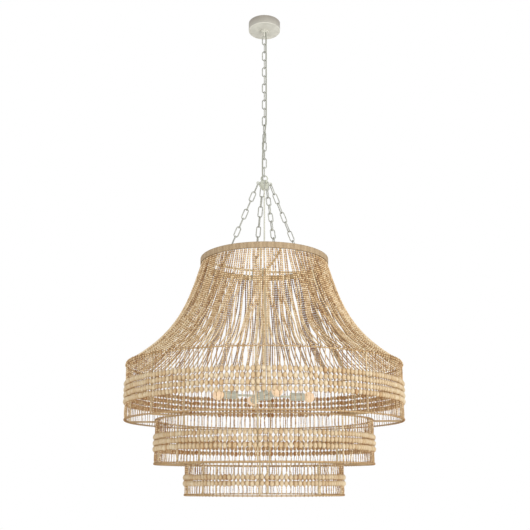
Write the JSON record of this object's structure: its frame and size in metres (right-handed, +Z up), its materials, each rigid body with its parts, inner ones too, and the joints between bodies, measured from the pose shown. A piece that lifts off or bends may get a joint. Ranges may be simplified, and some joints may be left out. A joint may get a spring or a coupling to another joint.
{
  "type": "beaded chandelier",
  "caption": "Ceiling light on a chain, with a flared skirt of bead strands over stepped drum curtains with rows of large beads.",
  "frame": {"origin": "on the ceiling, above the middle of the canopy, where the ceiling bar lies against it", "axes": "+Z up; the picture was taken from the -Y side, so +X is to its right"},
  "size_m": [0.9894, 0.9894, 1.8605],
  "materials": {
    "canopy_paint": "off-white satin paint",
    "chain_paint": "pale grey-white satin paint",
    "zinc": "zinc plated",
    "frame_paint": "sand coloured satin paint",
    "small_beads": "small turned wooden beads, natural tan",
    "large_beads": "turned wooden beads, natural cream",
    "cord": "grey-green sheath",
    "bulb_glass": "warm white globe"
  },
  "bodies": {
    "ceiling": {"ceiling_bar": "zinc", "ceiling_screw_1": "zinc", "ceiling_screw_2": "zinc", "nipple": "zinc", "nipple_locknut": "zinc", "collar_loop": "canopy_paint", "supply_cord_upper": "cord"},
    "canopy": {"canopy": "canopy_paint"},
    "collar_nut": {"collar_nut": "canopy_paint"},
    "link_01": {"chain_link_01": "chain_paint"},
    "link_02": {"chain_link_02": "chain_paint"},
    "link_03": {"chain_link_03": "chain_paint"},
    "link_04": {"chain_link_04": "chain_paint"},
    "link_05": {"chain_link_05": "chain_paint"},
    "link_06": {"chain_link_06": "chain_paint"},
    "link_07": {"chain_link_07": "chain_paint"},
    "link_08": {"chain_link_08": "chain_paint"},
    "link_09": {"chain_link_09": "chain_paint"},
    "link_10": {"chain_link_10": "chain_paint"},
    "link_11": {"chain_link_11": "chain_paint"},
    "link_12": {"chain_link_12": "chain_paint"},
    "link_13": {"chain_link_13": "chain_paint"},
    "link_14": {"chain_link_14": "chain_paint"},
    "link_15": {"chain_link_15": "chain_paint"},
    "link_16": {"chain_link_16": "chain_paint"},
    "link_17": {"chain_link_17": "chain_paint"},
    "fixture": {"hub": "chain_paint", "leg_chain_1": "chain_paint", "leg_chain_2": "chain_paint", "leg_chain_3": "chain_paint", "leg_chain_4": "chain_paint", "spider": "frame_paint", "upper_frame": "frame_paint", "skirt_beads": "small_beads", "tier_1_beads": "large_beads", "tier_2_beads": "large_beads", "tier_3_beads": "large_beads", "tier_1_frame": "frame_paint", "tier_2_frame": "frame_paint", "tier_3_frame": "frame_paint", "tier_2_spokes": "frame_paint", "tier_3_spokes": "frame_paint", "stem": "frame_paint", "stem_nut": "zinc", "lamp_cluster": "chain_paint", "lamp_socket_1": "chain_paint", "lamp_socket_2": "chain_paint", "lamp_socket_3": "chain_paint", "lamp_socket_4": "chain_paint", "supply_cord_lower": "cord"},
    "bulb_1": {"bulb_1": "bulb_glass"},
    "bulb_2": {"bulb_2": "bulb_glass"},
    "bulb_3": {"bulb_3": "bulb_glass"},
    "bulb_4": {"bulb_4": "bulb_glass"}
  },
  "joints": [
    {"name": "chain_swing_01", "type": "hinge", "parent": "ceiling", "child": "link_01", "pos_m": [0, 0, -0.061], "axis": [0, 1, 0], "range_deg": [-15, 15], "deforming": ["supply_cord_upper"]},
    {"name": "chain_swing_02", "type": "hinge", "parent": "link_01", "child": "link_02", "pos_m": [0, 0, -0.09645], "axis": [-1, 0, 0], "range_deg": [-15, 15], "deforming": ["supply_cord_upper"]},
    {"name": "chain_swing_03", "type": "hinge", "parent": "link_02", "child": "link_03", "pos_m": [0, 0, -0.13205], "axis": [0, -1, 0], "range_deg": [-3, 3], "deforming": ["supply_cord_upper"]},
    {"name": "chain_swing_04", "type": "hinge", "parent": "link_03", "child": "link_04", "pos_m": [0, 0, -0.16765], "axis": [1, 0, 0], "range_deg": [-3, 3], "deforming": ["supply_cord_upper"]},
    {"name": "chain_swing_05", "type": "hinge", "parent": "link_04", "child": "link_05", "pos_m": [0, 0, -0.20325], "axis": [0, 1, 0], "range_deg": [-3, 3], "deforming": ["supply_cord_upper"]},
    {"name": "chain_swing_06", "type": "hinge", "parent": "link_05", "child": "link_06", "pos_m": [0, 0, -0.23885], "axis": [-1, 0, 0], "range_deg": [-3, 3], "deforming": ["supply_cord_upper"]},
    {"name": "chain_swing_07", "type": "hinge", "parent": "link_06", "child": "link_07", "pos_m": [0, 0, -0.27445], "axis": [0, -1, 0], "range_deg": [-3, 3], "deforming": ["supply_cord_upper"]},
    {"name": "chain_swing_08", "type": "hinge", "parent": "link_07", "child": "link_08", "pos_m": [0, 0, -0.31005], "axis": [1, 0, 0], "range_deg": [-3, 3], "deforming": ["supply_cord_upper"]},
    {"name": "chain_swing_09", "type": "hinge", "parent": "link_08", "child": "link_09", "pos_m": [0, 0, -0.34565], "axis": [0, 1, 0], "range_deg": [-3, 3], "deforming": ["supply_cord_upper"]},
    {"name": "chain_swing_10", "type": "hinge", "parent": "link_09", "child": "link_10", "pos_m": [0, 0, -0.38125], "axis": [-1, 0, 0], "range_deg": [-3, 3], "deforming": ["supply_cord_upper"]},
    {"name": "chain_swing_11", "type": "hinge", "parent": "link_10", "child": "link_11", "pos_m": [0, 0, -0.41685], "axis": [0, -1, 0], "range_deg": [-3, 3], "deforming": ["supply_cord_upper"]},
    {"name": "chain_swing_12", "type": "hinge", "parent": "link_11", "child": "link_12", "pos_m": [0, 0, -0.45245], "axis": [0.9932, -0.1161, 0], "range_deg": [-3, 3], "deforming": ["supply_cord_upper"]},
    {"name": "chain_swing_13", "type": "hinge", "parent": "link_12", "child": "link_13", "pos_m": [0, 0, -0.48805], "axis": [0.3961, 0.9182, 0], "range_deg": [-3, 3], "deforming": ["supply_cord_upper"]},
    {"name": "chain_swing_14", "type": "hinge", "parent": "link_13", "child": "link_14", "pos_m": [0, 0, -0.52365], "axis": [-0.7071, 0.7071, 0], "range_deg": [-3, 3], "deforming": ["supply_cord_upper"]},
    {"name": "chain_swing_15", "type": "hinge", "parent": "link_14", "child": "link_15", "pos_m": [0, 0, -0.55925], "axis": [-0.9182, -0.3961, 0], "range_deg": [-3, 3], "deforming": ["supply_cord_upper"]},
    {"name": "chain_swing_16", "type": "hinge", "parent": "link_15", "child": "link_16", "pos_m": [0, 0, -0.59485], "axis": [0.1161, -0.9932, 0], "range_deg": [-3, 3], "deforming": ["supply_cord_upper"]},
    {"name": "chain_swing_17", "type": "hinge", "parent": "link_16", "child": "link_17", "pos_m": [0, 0, -0.63045], "axis": [1, 0, 0], "range_deg": [-15, 15], "deforming": ["supply_cord_upper"]},
    {"name": "chain_swing_18", "type": "hinge", "parent": "link_17", "child": "fixture", "pos_m": [0, 0, -0.66605], "axis": [0, 1, 0], "range_deg": [-15, 15], "deforming": ["supply_cord_upper"]},
    {"name": "canopy_slide", "type": "slide", "parent": "ceiling", "child": "canopy", "axis": [0, 0, -1], "range_m": [0, 0.03]},
    {"name": "collar_nut_turn", "type": "hinge", "parent": "canopy", "child": "collar_nut", "pos_m": [0, 0, -0.0378], "axis": [0, 0, 1], "continuous": true},
    {"name": "bulb_1_turn", "type": "hinge", "parent": "fixture", "child": "bulb_1", "pos_m": [0.03882, -0.14489, -1.5015], "axis": [0.2588, -0.9659, 0], "continuous": true},
    {"name": "bulb_2_turn", "type": "hinge", "parent": "fixture", "child": "bulb_2", "pos_m": [0.14489, 0.03882, -1.5015], "axis": [0.9659, 0.2588, 0], "continuous": true},
    {"name": "bulb_3_turn", "type": "hinge", "parent": "fixture", "child": "bulb_3", "pos_m": [-0.03882, 0.14489, -1.5015], "axis": [-0.2588, 0.9659, 0], "continuous": true},
    {"name": "bulb_4_turn", "type": "hinge", "parent": "fixture", "child": "bulb_4", "pos_m": [-0.14489, -0.03882, -1.5015], "axis": [-0.9659, -0.2588, 0], "continuous": true}
  ]
}
